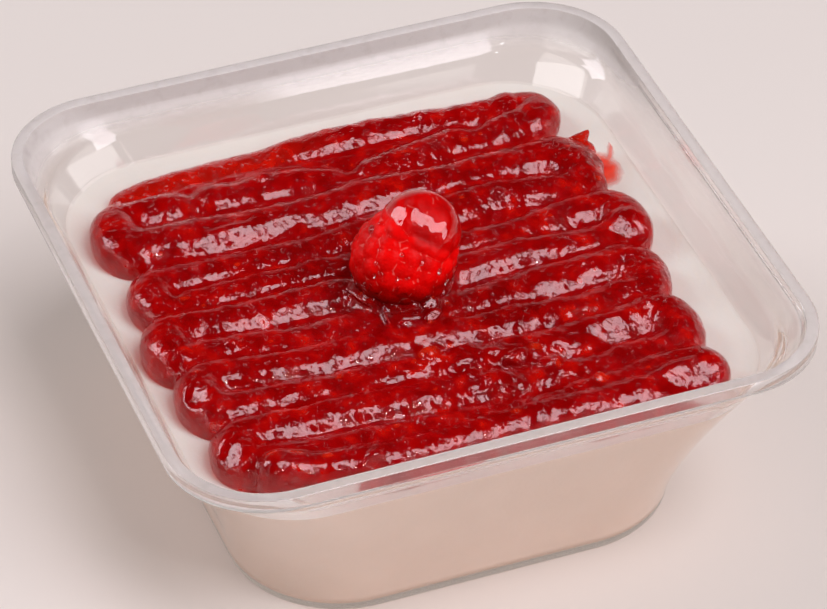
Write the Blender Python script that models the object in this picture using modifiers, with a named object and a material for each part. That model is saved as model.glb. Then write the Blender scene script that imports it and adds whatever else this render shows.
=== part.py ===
"""Milk pudding in a clear square dessert cup, topped with a piped line of
raspberry jam and one raspberry.

Frame: +X along the front edge from left to right, -Y towards the front,
+Z up. The origin is the middle of the cup's foot, on the surface it stands on.
Metres throughout.
"""
import math
import random

import bpy
import bmesh
from mathutils import Vector, noise

MM = 0.001

# ---------------------------------------------------------------- dimensions
RIM_HALF = 55.0 * MM          # half of the outer side of the rim
CUP_HEIGHT = 43.7 * MM
RIM_BEAD = 2.5 * MM           # height of the bead round the rim
RIM_LAND = 2.05 * MM          # width of the rim's top face
WALL = 1.2 * MM               # moulded plastic
FLOOR = 1.4 * MM
FOOT_HALF = 38.3 * MM         # half side where the wall leaves the foot
WALL_TOP_HALF = 55.0 * MM     # where the wall's curve would reach the rim
FLARE = 1.39                  # how much the wall flares out towards the rim
FOOT_ROUND = 1.3 * MM
FOOT_CORNER = 19.2 * MM       # plan radius of the corners at the foot,
WALL_CORNER = 18.7 * MM       # at the top of the wall
RIM_CORNER = 16.5 * MM        # and at the rim
CORNER_STEPS = 8              # segments in each rounded corner

GAP = 0.3 * MM                # kept between touching pieces

PUDDING_LEVEL = 32.1 * MM     # height of the pudding's flat surface
MENISCUS = 0.6 * MM           # how far it climbs at the wall
MENISCUS_WIDTH = 2.6 * MM

# the piped jam: twelve passes, from the back to the front. Each gives the
# pass's distance from the middle of the cup at its left, middle and right, its
# half width and its height.
STATION_X = (-32.0, 0.0, 30.0)
PASSES = (
    (36.4, 37.3, 37.6, 4.0, 5.4),
    (30.4, 28.0, 31.0, 4.3, 5.7),
    (20.5, 21.6, 21.1, 4.9, 6.2),
    (11.5, 13.0, 12.6, 4.3, 5.9),
    (4.5, 4.6, 5.2, 3.8, 5.9),
    (-1.0, -2.1, -2.7, 4.2, 6.2),
    (-9.5, -11.0, -9.9, 4.3, 6.2),
    (-14.9, -16.9, -18.0, 4.0, 6.2),
    (-23.0, -24.9, -24.5, 4.1, 6.3),
    (-29.3, -32.0, -33.3, 4.1, 6.1),
    (-37.2, -39.4, -38.0, 4.1, 6.0),
    (-40.4, -42.3, -41.9, 3.7, 6.3),
)
# how far out each turn reaches: left turns join passes 2-3, 4-5, ... and right
# turns join passes 1-2, 3-4, ...
LEFT_TURNS = (-45.9, -45.4, -47.4, -46.2, -45.1)
RIGHT_TURNS = (41.5, 41.9, 44.0, 41.2, 40.9, 40.2)
BACK_PASS_END = -36.5         # where the back pass tails off
FRONT_PASS_START = -35.5      # and where the front pass begins
LINK_BREAKS = (-27.0, 0.5, 25.0)   # the second pass is pinched here
TURN_SWELL = 1.07             # the turns are a little fuller
FLAT_FOOT = 0.78              # the rope's foot, of its half width
WIDEST_AT = 0.40              # its widest level, of its height
ROPE_POINTS = 16
STEP = 1.6                    # mm between stations along the rope
TORN_TIP_FOOT = (38.2, 21.6, 2.4)   # the torn peak, above the pudding
TORN_TIP = (42.7, 23.8, 5.5)
TORN_TIP_RADIUS = 3.1

VOXEL = 0.55 * MM
JAM_TRIANGLES = 4800

# raspberry: a full lower body and a smaller dome, which leans to the right
BERRY_BODY = (-2.4, -4.3, 42.1)
BERRY_BODY_R = 8.7
BERRY_DOME = (0.8, -4.0, 47.4)
BERRY_DOME_R = 6.8
BERRY_FOOT = 35.6             # the berry sinks into the jam to this height
DRUPELET_R = 2.35
DRUPELET_RINGS = 7
BERRY_TRIANGLES = 1800


# -------------------------------------------------------------------- helpers
def clear_scene():
    for ob in list(bpy.data.objects):
        bpy.data.objects.remove(ob, do_unlink=True)


def collection(name):
    coll = bpy.data.collections.new(name)
    bpy.context.scene.collection.children.link(coll)
    return coll


def material(name, colour, roughness, metallic=0.0, transmission=0.0, ior=1.45):
    mat = bpy.data.materials.new(name)
    mat.use_nodes = True
    bsdf = mat.node_tree.nodes["Principled BSDF"]
    bsdf.inputs["Base Color"].default_value = colour
    bsdf.inputs["Roughness"].default_value = roughness
    bsdf.inputs["Metallic"].default_value = metallic
    bsdf.inputs["Transmission Weight"].default_value = transmission
    bsdf.inputs["IOR"].default_value = ior
    mat.diffuse_color = colour
    return mat


def object_from(bm, name, coll, mat=None, smooth=True):
    bmesh.ops.recalc_face_normals(bm, faces=bm.faces)
    mesh = bpy.data.meshes.new(name)
    bm.to_mesh(mesh)
    bm.free()
    if smooth:
        mesh.shade_smooth()
        mesh.set_sharp_from_angle(angle=math.radians(40))
    ob = bpy.data.objects.new(name, mesh)
    if mat:
        ob.data.materials.append(mat)
    coll.objects.link(ob)
    return ob


def smoothstep(t):
    t = max(0.0, min(1.0, t))
    return t * t * (3.0 - 2.0 * t)


# ------------------------------------------------------------------ the cup
def wall_share(z):
    return max(0.0, min(1.0, (z - FOOT_ROUND) / (CUP_HEIGHT - FOOT_ROUND)))


def outer_half(z):
    """Half side of the cup's outer wall at height z."""
    return FOOT_HALF + (WALL_TOP_HALF - FOOT_HALF) * wall_share(z) ** FLARE


def outer_corner(z):
    """Plan radius of the corners of the outer wall at height z."""
    return FOOT_CORNER + (WALL_CORNER - FOOT_CORNER) * wall_share(z)


def inner_half(z):
    lip = CUP_HEIGHT - RIM_BEAD
    if z < lip:
        return outer_half(z) - WALL
    low = outer_half(lip) - WALL
    return low + (RIM_HALF - RIM_LAND - low) * (z - lip) / RIM_BEAD


def inner_corner(z):
    lip = CUP_HEIGHT - RIM_BEAD
    if z < lip:
        return outer_corner(z) - WALL
    low = outer_corner(lip) - WALL
    return low + (RIM_CORNER - RIM_LAND - low) * (z - lip) / RIM_BEAD


def rounded_square(half, radius, z, steps=CORNER_STEPS):
    """Corners of a rounded square at height z, anticlockwise from +X."""
    c = half - radius
    ring = []
    for quarter in range(4):
        sx = (1, -1, -1, 1)[quarter]
        sy = (1, 1, -1, -1)[quarter]
        for i in range(steps + 1):
            a = math.radians(90.0 * quarter + 90.0 * i / steps)
            ring.append(Vector((sx * c + radius * math.cos(a),
                                sy * c + radius * math.sin(a), z)))
    return ring


def loft(bm, rings):
    """Bridges rings of equal length and caps the first and the last."""
    rows = [[bm.verts.new(p) for p in ring] for ring in rings]
    n = len(rows[0])
    for low, high in zip(rows[:-1], rows[1:]):
        for i in range(n):
            j = (i + 1) % n
            bm.faces.new((low[i], low[j], high[j], high[i]))
    bm.faces.new(list(reversed(rows[0])))
    bm.faces.new(rows[-1])
    return rows


def cup_profile():
    """(half side, corner radius, z) of each ring, up outside, down inside."""
    prof = []
    for k in range(4):                               # rounded foot
        a = math.radians(90.0 * k / 3)
        cut = FOOT_ROUND * (1.0 - math.sin(a))
        prof.append((FOOT_HALF - cut, FOOT_CORNER - cut,
                     FOOT_ROUND * (1.0 - math.cos(a))))
    bead_z = CUP_HEIGHT - RIM_BEAD
    count = 9
    for k in range(1, count + 1):                    # flaring wall
        z = FOOT_ROUND + (bead_z - FOOT_ROUND) * k / count
        prof.append((outer_half(z), outer_corner(z), z))
    e = 0.35 * MM
    prof.append((RIM_HALF - e, RIM_CORNER - e, bead_z + 0.05 * MM))   # bead
    prof.append((RIM_HALF, RIM_CORNER, bead_z + e))
    prof.append((RIM_HALF, RIM_CORNER, CUP_HEIGHT - e))
    prof.append((RIM_HALF - e, RIM_CORNER - e, CUP_HEIGHT))
    land = RIM_HALF - RIM_LAND
    prof.append((land + e, RIM_CORNER - RIM_LAND + e, CUP_HEIGHT))
    prof.append((land, RIM_CORNER - RIM_LAND, CUP_HEIGHT - e))
    inner_round = 2.2 * MM
    floor_z = FLOOR + inner_round
    count = 8
    for k in range(count + 1):                       # inside, going down
        z = bead_z + (floor_z - bead_z) * k / count
        prof.append((inner_half(z), inner_corner(z), z))
    for k in range(1, 4):                            # rounded inside corner
        a = math.radians(90.0 * k / 3)
        cut = inner_round * (1.0 - math.cos(a))
        z = floor_z - inner_round * math.sin(a)
        prof.append((inner_half(floor_z) - cut, inner_corner(floor_z) - cut, z))
    return prof


def build_cup(coll):
    bm = bmesh.new()
    loft(bm, [rounded_square(h, r, z) for h, r, z in cup_profile()])
    mat = material("clear_plastic", (0.93, 0.93, 0.94, 0.35), 0.06,
                   transmission=1.0, ior=1.49)
    return object_from(bm, "cup", coll, mat)


# -------------------------------------------------------------- the pudding
def square_distance(x, y, half, radius):
    """Signed distance in plan to a rounded square, negative inside."""
    qx = abs(x) - (half - radius)
    qy = abs(y) - (half - radius)
    return (math.hypot(max(qx, 0.0), max(qy, 0.0))
            + min(max(qx, qy), 0.0) - radius)


def pudding_top(x, y):
    """Height of the pudding's surface, which climbs a little at the wall."""
    half = inner_half(PUDDING_LEVEL) - GAP
    d = -square_distance(x, y, half, inner_corner(PUDDING_LEVEL) - GAP)
    t = 1.0 - max(0.0, min(1.0, d / MENISCUS_WIDTH))
    return PUDDING_LEVEL + MENISCUS * t ** 3


def build_pudding(coll):
    prof = []
    inner_round = 2.2 * MM
    floor_z = FLOOR + inner_round
    for k in range(4):
        a = math.radians(90.0 * k / 3)
        cut = inner_round * (1.0 - math.sin(a)) + GAP
        prof.append((inner_half(floor_z) - cut, inner_corner(floor_z) - cut,
                     FLOOR + GAP + (inner_round - GAP) * (1.0 - math.cos(a))))
    top_z = PUDDING_LEVEL + MENISCUS
    count = 7
    for k in range(1, count + 1):
        z = floor_z + (top_z - floor_z) * k / count
        prof.append((inner_half(z) - GAP * 1.1, inner_corner(z) - GAP, z))
    edge = inner_half(top_z) - GAP * 1.1
    for k in range(1, 4):                            # the climb at the wall
        t = 1.0 - k / 3.0
        prof.append((edge - MENISCUS_WIDTH * k / 3.0,
                     inner_corner(top_z) - GAP - MENISCUS_WIDTH * k / 3.0,
                     PUDDING_LEVEL + MENISCUS * t ** 3))
    bm = bmesh.new()
    loft(bm, [rounded_square(h, r, z) for h, r, z in prof])
    mat = material("milk_pudding", (0.84, 0.80, 0.74, 1.0), 0.45)
    return object_from(bm, "pudding", coll, mat)


# ------------------------------------------------------------------- the jam
def pass_y(index, x):
    """Centre line of one pass: a parabola through its three stations."""
    (xa, xb, xc), (ya, yb, yc) = STATION_X, PASSES[index][:3]
    la = (x - xb) * (x - xc) / ((xa - xb) * (xa - xc))
    lb = (x - xa) * (x - xc) / ((xb - xa) * (xb - xc))
    lc = (x - xa) * (x - xb) / ((xc - xa) * (xc - xb))
    return ya * la + yb * lb + yc * lc


def turn_points(side, reach, first, second, xs):
    """Centre line of a turn from pass first to pass second at x = xs."""
    y1, y2 = pass_y(first, xs), pass_y(second, xs)
    half = 0.5 * (PASSES[first][3] + PASSES[second][3]) * TURN_SWELL
    depth = side * (reach - side * half - xs)
    pts = []
    count = 12
    for i in range(count + 1):
        a = math.pi * i / count
        s = math.sin(a)
        pts.append((xs + side * depth * s ** 0.85,
                    0.5 * (y1 + y2) + 0.5 * (y1 - y2) * math.cos(a),
                    1.0 + (TURN_SWELL - 1.0) * s, 0.5 - 0.5 * math.cos(a)))
    return pts


def rope_stations():
    """Stations (x, y, half width, height) of the whole piped line, front pass
    first, split where the second pass is pinched. Millimetres."""
    last = len(PASSES) - 1
    runs, run = [], []
    rightwards = True
    for index in range(last, -1, -1):
        half, height = PASSES[index][3:]
        # ends of the straight part of this pass
        if index % 2 == 1:            # its right end turns with the one above
            right = RIGHT_TURNS[index // 2]
        else:
            right = RIGHT_TURNS[index // 2]
        left = LEFT_TURNS[(index - 1) // 2] if 0 < index < last else None
        x_right = right - 7.2
        x_left = (left + 7.2) if left is not None else (
            FRONT_PASS_START if index == last else BACK_PASS_END)
        count = max(2, int(abs(x_right - x_left) / STEP))
        xs = [x_left + (x_right - x_left) * i / count for i in range(count + 1)]
        if not rightwards:
            xs.reverse()
        for x in xs:
            w = 1.0 + 0.05 * noise.noise(Vector((x * 0.11, index * 7.3, 0.0)))
            h = 1.0 + 0.06 * noise.noise(Vector((x * 0.14, index * 3.1, 5.0)))
            dy = 0.55 * noise.noise(Vector((x * 0.09, index * 5.7, 9.0)))
            if index == 1:            # pinched like links
                near = min(abs(x - b) for b in LINK_BREAKS)
                w *= 0.84 + 0.18 * smoothstep(near / 5.0)
                h *= 0.84 + 0.18 * smoothstep(near / 5.0)
            if index == 0:            # the thin back pass tails off
                w *= 0.80 + 0.20 * smoothstep((x - BACK_PASS_END) / 9.0)
            run.append((x, pass_y(index, x) + dy, half * w, height * h))
        if index == 0:
            break
        side = 1.0 if rightwards else -1.0
        reach = right if rightwards else left
        nxt = index - 1
        if reach is None:
            break
        n_half, n_height = PASSES[nxt][3:]
        for x, y, swell, share in turn_points(side, reach, index, nxt, xs[-1]):
            run.append((x, y, (half + (n_half - half) * share) * swell,
                        (height + (n_height - height) * share) * swell))
        rightwards = not rightwards
    runs.append(run)
    return runs


def rope_section(half, height):
    """Points (across, up) of the rope's section, anticlockwise from its foot
    on the right: a flat foot, bulging sides and a round top."""
    pts = []
    side_steps = 3
    for i in range(side_steps):
        a = math.radians(90.0 * i / side_steps)
        pts.append((half * (FLAT_FOOT + (1 - FLAT_FOOT) * math.sin(a)),
                    height * WIDEST_AT * (1 - math.cos(a))))
    top_steps = ROPE_POINTS - 2 * side_steps
    for i in range(top_steps + 1):
        a = math.pi * i / top_steps
        pts.append((half * math.cos(a),
                    height * (WIDEST_AT + (1 - WIDEST_AT) * math.sin(a))))
    for i in reversed(range(side_steps)):
        a = math.radians(90.0 * i / side_steps)
        pts.append((-half * (FLAT_FOOT + (1 - FLAT_FOOT) * math.sin(a)),
                    height * WIDEST_AT * (1 - math.cos(a))))
    return pts


def sweep_rope(bm, stations, z0):
    """Sweeps the rope's section along its stations, with rounded ends."""
    pts = [Vector((s[0], s[1], 0.0)) for s in stations]
    tangents = []
    for i in range(len(pts)):
        t = pts[min(i + 1, len(pts) - 1)] - pts[max(i - 1, 0)]
        tangents.append(t.normalized())
    rings = []

    def ring(p, t, half, height):
        across = Vector((-t.y, t.x, 0.0))
        return [(p + across * u) * MM + Vector((0, 0, z0 + v * MM))
                for u, v in rope_section(half, height)]

    cap = (0.97, 0.82, 0.55, 0.22)
    half, height = stations[0][2:]
    for c in reversed(cap):
        r = math.sqrt(1 - c * c)
        rings.append(ring(pts[0] - tangents[0] * (half * c), tangents[0],
                          half * r, height * (0.25 + 0.75 * r)))
    rings.reverse()
    rings.sort(key=lambda q: (q[0] - pts[0] * MM).dot(tangents[0]))
    for s, p, t in zip(stations, pts, tangents):
        rings.append(ring(p, t, s[2], s[3]))
    half, height = stations[-1][2:]
    for c in reversed(cap):
        r = math.sqrt(1 - c * c)
        rings.append(ring(pts[-1] + tangents[-1] * (half * c), tangents[-1],
                          half * r, height * (0.25 + 0.75 * r)))
    tail = rings[-len(cap):]
    tail.sort(key=lambda q: (q[0] - pts[-1] * MM).dot(tangents[-1]))
    rings[-len(cap):] = tail
    loft(bm, rings)


def berry_lower(x, y):
    """Height of the berry's underside over a point, or None beside it."""
    bx, by, bz = (c * MM for c in BERRY_BODY)
    r = (BERRY_BODY_R + 1.3) * MM
    d2 = (x - bx) ** 2 + (y - by) ** 2
    if d2 >= r * r:
        return None
    return max(bz - math.sqrt(r * r - d2), BERRY_FOOT * MM)


def build_jam(coll, guides):
    z0 = PUDDING_LEVEL + GAP
    bm = bmesh.new()
    for run in rope_stations():
        sweep_rope(bm, run, z0)
    # the torn peak at the right end of the third pass
    foot = Vector(TORN_TIP_FOOT) * MM + Vector((0, 0, PUDDING_LEVEL))
    tip = Vector(TORN_TIP) * MM + Vector((0, 0, PUDDING_LEVEL))
    axis = tip - foot
    turn = axis.to_track_quat("Z", "Y").to_matrix().to_4x4()
    turn.translation = foot + axis * 0.5
    bmesh.ops.create_cone(bm, cap_ends=True, segments=12,
                          radius1=TORN_TIP_RADIUS * MM, radius2=0.35 * MM,
                          depth=axis.length, matrix=turn)
    rope = object_from(bm, "piped_line", guides, smooth=False)
    rope.hide_render = True
    rope.display_type = "WIRE"
    remesh = rope.modifiers.new("join", "REMESH")
    remesh.mode = "VOXEL"
    remesh.voxel_size = VOXEL
    smooth = rope.modifiers.new("soften", "SMOOTH")
    smooth.factor = 0.5
    smooth.iterations = 2

    joined = bpy.data.meshes.new_from_object(
        rope.evaluated_get(bpy.context.evaluated_depsgraph_get()))
    joined.name = "jam"
    for v in joined.vertices:
        x, y, z = v.co
        under = berry_lower(x, y)          # the berry presses into the jam
        if under is not None and z > under - 2.0 * GAP:
            z = under - 2.0 * GAP
        low = pudding_top(x, y) + GAP      # and the jam lies on the pudding
        if z < low + 0.3 * VOXEL:
            z = low
        v.co = (x, y, z)
    mat = material("raspberry_jam", (0.42, 0.008, 0.012, 1.0), 0.12)
    joined.materials.clear()
    joined.materials.append(mat)
    ob = bpy.data.objects.new("jam", joined)
    coll.objects.link(ob)
    faces = sum(len(p.vertices) - 2 for p in joined.polygons)
    decimate = ob.modifiers.new("thin_out", "DECIMATE")
    decimate.decimate_type = "COLLAPSE"
    decimate.ratio = JAM_TRIANGLES / faces
    joined.shade_smooth()
    return ob


# ------------------------------------------------------------- the raspberry
def berry_axis():
    a, b = Vector(BERRY_BODY), Vector(BERRY_DOME)
    return a, b, (b - a).normalized(), (b - a).length


def berry_surface(direction, body, axis, length):
    """Distance from the body's centre to the smooth outline of the berry:
    the round cone over the body's and the dome's spheres."""
    best = BERRY_BODY_R
    steps = 8
    for k in range(1, steps + 1):
        t = k / steps
        c = axis * length * t
        r = BERRY_BODY_R + (BERRY_DOME_R - BERRY_BODY_R) * t
        b = direction.dot(c)
        disc = b * b - c.length_squared + r * r
        if disc > 0:
            best = max(best, b + math.sqrt(disc))
    return best


def drupelets():
    """Centres of the drupelets, in rings round the berry's axis."""
    body, dome, axis, length = berry_axis()
    side = axis.cross(Vector((0, 1, 0))).normalized()
    other = axis.cross(side)
    centres = []
    for k in range(DRUPELET_RINGS):
        polar = math.radians(8.0 + 132.0 * k / (DRUPELET_RINGS - 1))
        ring_r = math.sin(polar)
        count = max(1, round(2 * math.pi * ring_r * 8.4
                             / (1.72 * DRUPELET_R)))
        for i in range(count):
            a = 2 * math.pi * (i + 0.5 * (k % 2)) / count
            a += 0.16 * noise.noise(Vector((k * 3.7, i * 1.9, 2.0)))
            d = (axis * math.cos(polar)
                 + (side * math.cos(a) + other * math.sin(a)) * ring_r)
            reach = berry_surface(d, body, axis, length)
            r = DRUPELET_R * (1.0 + 0.10 * noise.noise(
                Vector((i * 2.3, k * 4.1, 7.0))))
            centres.append((d * (reach - r * 0.93), r))
    return centres


def build_raspberry(coll):
    body, dome, axis, length = berry_axis()
    lumps = drupelets()
    bm = bmesh.new()
    bmesh.ops.create_icosphere(bm, subdivisions=5, radius=1.0)
    foot = BERRY_FOOT - body.z
    for v in bm.verts:
        d = v.co.normalized()
        reach = berry_surface(d, body, axis, length) - 1.25
        for c, r in lumps:
            b = d.dot(c)
            disc = b * b - c.length_squared + r * r
            if disc > 0 and b > 0:
                reach = max(reach, b + math.sqrt(disc))
        p = d * reach
        if p.z < foot:                     # flat where it stands in the jam
            p.z = foot + 0.12 * (p.z - foot)
        v.co = (p + body) * MM
    mat = material("raspberry", (0.72, 0.012, 0.018, 1.0), 0.2)
    ob = object_from(bm, "raspberry", coll, mat, smooth=False)
    ob.data.shade_smooth()
    decimate = ob.modifiers.new("thin_out", "DECIMATE")
    decimate.decimate_type = "COLLAPSE"
    decimate.ratio = BERRY_TRIANGLES / len(ob.data.polygons)
    return ob


# ----------------------------------------------------------------------- main
def main():
    clear_scene()
    random.seed(7)
    parts = collection("milk_pudding_dessert")
    guides = collection("guides")
    build_cup(parts)
    build_pudding(parts)
    build_jam(parts, guides)
    build_raspberry(parts)


main()
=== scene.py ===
"""Looks of the milk pudding dessert: a clear square cup, the pudding, a piped
line of raspberry jam and a glazed raspberry. Metres, +X along the front edge,
-Y towards the front, +Z up, origin in the middle of the cup's foot.
"""

import math

import bpy
import bmesh
import numpy as np
from mathutils import Matrix, Vector
from mathutils.kdtree import KDTree


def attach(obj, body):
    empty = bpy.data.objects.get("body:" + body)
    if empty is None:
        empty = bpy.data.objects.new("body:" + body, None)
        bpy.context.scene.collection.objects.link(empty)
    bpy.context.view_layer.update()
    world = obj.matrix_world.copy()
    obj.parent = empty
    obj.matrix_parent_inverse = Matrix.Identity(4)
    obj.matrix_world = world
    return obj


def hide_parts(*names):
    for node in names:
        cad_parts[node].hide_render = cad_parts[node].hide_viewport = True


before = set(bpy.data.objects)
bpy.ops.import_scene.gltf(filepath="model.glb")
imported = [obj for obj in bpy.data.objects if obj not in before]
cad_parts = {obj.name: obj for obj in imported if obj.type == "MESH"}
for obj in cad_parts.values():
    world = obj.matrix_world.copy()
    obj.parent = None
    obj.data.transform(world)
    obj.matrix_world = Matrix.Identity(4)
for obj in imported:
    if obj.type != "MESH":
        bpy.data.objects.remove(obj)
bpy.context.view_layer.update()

MM = 0.001

# ---------------------------------------------------------------- dimensions
RIM_HALF = 55.0
CUP_HEIGHT = 43.7
RIM_BEAD = 2.5
RIM_LAND = 2.05
WALL = 1.2
FLOOR = 1.4
FOOT_HALF = 38.3
WALL_TOP_HALF = 55.0
FLARE = 1.39
FOOT_ROUND = 1.3
FOOT_CORNER = 19.2
WALL_CORNER = 18.7
RIM_CORNER = 16.5
LEVEL = 32.1

BERRY_BODY = Vector((-2.3, -4.3, 42.1))
BERRY_BODY_R = 8.7
BERRY_DOME = Vector((0.7, -4.2, 47.3))
BERRY_DOME_R = 6.7
BERRY_FOOT = 35.6


# -------------------------------------------------------------------- helpers
def smoothstep(a, b, x):
    t = np.clip((np.asarray(x, float) - a) / (b - a), 0.0, 1.0)
    return t * t * (3.0 - 2.0 * t)


class Noise:
    """Smooth gradient noise over arrays of points, about -1 to 1."""

    def __init__(self, seed):
        rng = np.random.RandomState(seed)
        self.table = np.tile(rng.permutation(256), 2)
        g = rng.normal(size=(256, 3))
        self.grad = g / np.linalg.norm(g, axis=1)[:, None]

    def __call__(self, p):
        p = np.atleast_2d(np.asarray(p, float))
        base = np.floor(p).astype(int)
        f = p - base
        w = f * f * f * (f * (f * 6 - 15) + 10)
        base &= 255
        out = np.zeros(len(p))
        for dx in (0, 1):
            ax = self.table[(base[:, 0] + dx) & 255]
            wx = w[:, 0] if dx else 1 - w[:, 0]
            for dy in (0, 1):
                ay = self.table[(ax + base[:, 1] + dy) & 255]
                wy = w[:, 1] if dy else 1 - w[:, 1]
                for dz in (0, 1):
                    az = self.table[(ay + base[:, 2] + dz) & 255]
                    wz = w[:, 2] if dz else 1 - w[:, 2]
                    d = f - np.array((dx, dy, dz))
                    out += wx * wy * wz * (self.grad[az] * d).sum(1)
        return out * 1.6


def new_object(name, mesh, mat=None):
    ob = bpy.data.objects.new(name, mesh)
    bpy.context.scene.collection.objects.link(ob)
    if mat is not None:
        ob.data.materials.clear()
        ob.data.materials.append(mat)
    return ob


def mesh_from(bm, name, sharp=None):
    bmesh.ops.recalc_face_normals(bm, faces=bm.faces)
    me = bpy.data.meshes.new(name)
    bm.to_mesh(me)
    bm.free()
    me.shade_smooth()
    if sharp:
        me.set_sharp_from_angle(angle=math.radians(sharp))
    return me


def coords(me):
    co = np.zeros(len(me.vertices) * 3)
    me.vertices.foreach_get("co", co)
    return co.reshape(-1, 3)


def set_coords(me, co):
    me.vertices.foreach_set("co", np.ascontiguousarray(co, float).ravel())
    me.update()


def normals(me):
    n = np.zeros(len(me.vertices) * 3)
    me.vertices.foreach_get("normal", n)
    return n.reshape(-1, 3)


# ---------------------------------------------------------- rounded squares
def wall_share(z):
    return min(1.0, max(0.0, (z - FOOT_ROUND) / (CUP_HEIGHT - FOOT_ROUND)))


def outer_half(z):
    return FOOT_HALF + (WALL_TOP_HALF - FOOT_HALF) * wall_share(z) ** FLARE


def outer_corner(z):
    return FOOT_CORNER + (WALL_CORNER - FOOT_CORNER) * wall_share(z)


def inner_half(z):
    lip = CUP_HEIGHT - RIM_BEAD
    if z < lip:
        return outer_half(z) - WALL
    low = outer_half(lip) - WALL
    return low + (RIM_HALF - RIM_LAND - low) * (z - lip) / RIM_BEAD


def inner_corner(z):
    lip = CUP_HEIGHT - RIM_BEAD
    if z < lip:
        return outer_corner(z) - WALL
    low = outer_corner(lip) - WALL
    return low + (RIM_CORNER - RIM_LAND - low) * (z - lip) / RIM_BEAD


def rounded_square(half, radius, z, steps=22, side=5):
    """Rounded square in mm at height z; each straight side is split too."""
    c = half - radius
    ring = []
    for quarter in range(4):
        sx = (1, -1, -1, 1)[quarter]
        sy = (1, 1, -1, -1)[quarter]
        nx = (-1, -1, 1, 1)[quarter]
        ny = (1, -1, -1, 1)[quarter]
        arc = []
        for i in range(steps + 1):
            a = math.radians(90.0 * quarter + 90.0 * i / steps)
            arc.append((sx * c + radius * math.cos(a),
                        sy * c + radius * math.sin(a)))
        ring += arc
        a = math.radians(90.0 * (quarter + 1))
        nxt = (nx * c + radius * math.cos(a), ny * c + radius * math.sin(a))
        for i in range(1, side):
            t = i / side
            ring.append((arc[-1][0] * (1 - t) + nxt[0] * t,
                         arc[-1][1] * (1 - t) + nxt[1] * t))
    return [Vector((x, y, z)) * MM for x, y in ring]


def loft(bm, rings, cap_first=True, cap_last=True):
    rows = [[bm.verts.new(p) for p in ring] for ring in rings]
    n = len(rows[0])
    for low, high in zip(rows[:-1], rows[1:]):
        for i in range(n):
            j = (i + 1) % n
            bm.faces.new((low[i], low[j], high[j], high[i]))
    if cap_first:
        bm.faces.new(list(reversed(rows[0])))
    if cap_last:
        bm.faces.new(rows[-1])
    return rows


# -------------------------------------------------------------- materials
def nodes_of(mat):
    mat.use_nodes = True
    nt = mat.node_tree
    nt.nodes.clear()
    return nt, nt.nodes.new, nt.links.new


def coordinates(new, link, scale=(1, 1, 1)):
    tc = new("ShaderNodeTexCoord")
    mp = new("ShaderNodeMapping")
    mp.inputs["Scale"].default_value = scale
    link(tc.outputs["Object"], mp.inputs["Vector"])
    return mp.outputs["Vector"]


def noise_node(new, link, vec, scale, detail=3.0, rough=0.5):
    n = new("ShaderNodeTexNoise")
    n.inputs["Scale"].default_value = scale
    n.inputs["Detail"].default_value = detail
    n.inputs["Roughness"].default_value = rough
    link(vec, n.inputs["Vector"])
    return n


def ramp(new, link, source, stops):
    r = new("ShaderNodeValToRGB")
    el = r.color_ramp.elements
    el[0].position, el[0].color = stops[0][0], (*stops[0][1], 1)
    el[1].position, el[1].color = stops[-1][0], (*stops[-1][1], 1)
    for pos, col in stops[1:-1]:
        e = el.new(pos)
        e.color = (*col, 1)
    link(source, r.inputs["Fac"])
    return r


def lamps_through(nt, new, link, surface, tint, soft=False):
    """The surface, with light from lamps let straight through it, and with
    soft also the light that other surfaces give back."""
    path = new("ShaderNodeLightPath")
    clear = new("ShaderNodeBsdfTransparent")
    clear.inputs["Color"].default_value = (*tint, 1)
    if soft:
        inner = new("ShaderNodeMixShader")
        link(path.outputs["Is Diffuse Ray"], inner.inputs[0])
        link(surface, inner.inputs[1])
        link(clear.outputs[0], inner.inputs[2])
        surface = inner.outputs[0]
    mix = new("ShaderNodeMixShader")
    link(path.outputs["Is Shadow Ray"], mix.inputs[0])
    link(surface, mix.inputs[1])
    link(clear.outputs[0], mix.inputs[2])
    out = new("ShaderNodeOutputMaterial")
    link(mix.outputs[0], out.inputs["Surface"])
    return out


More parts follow.
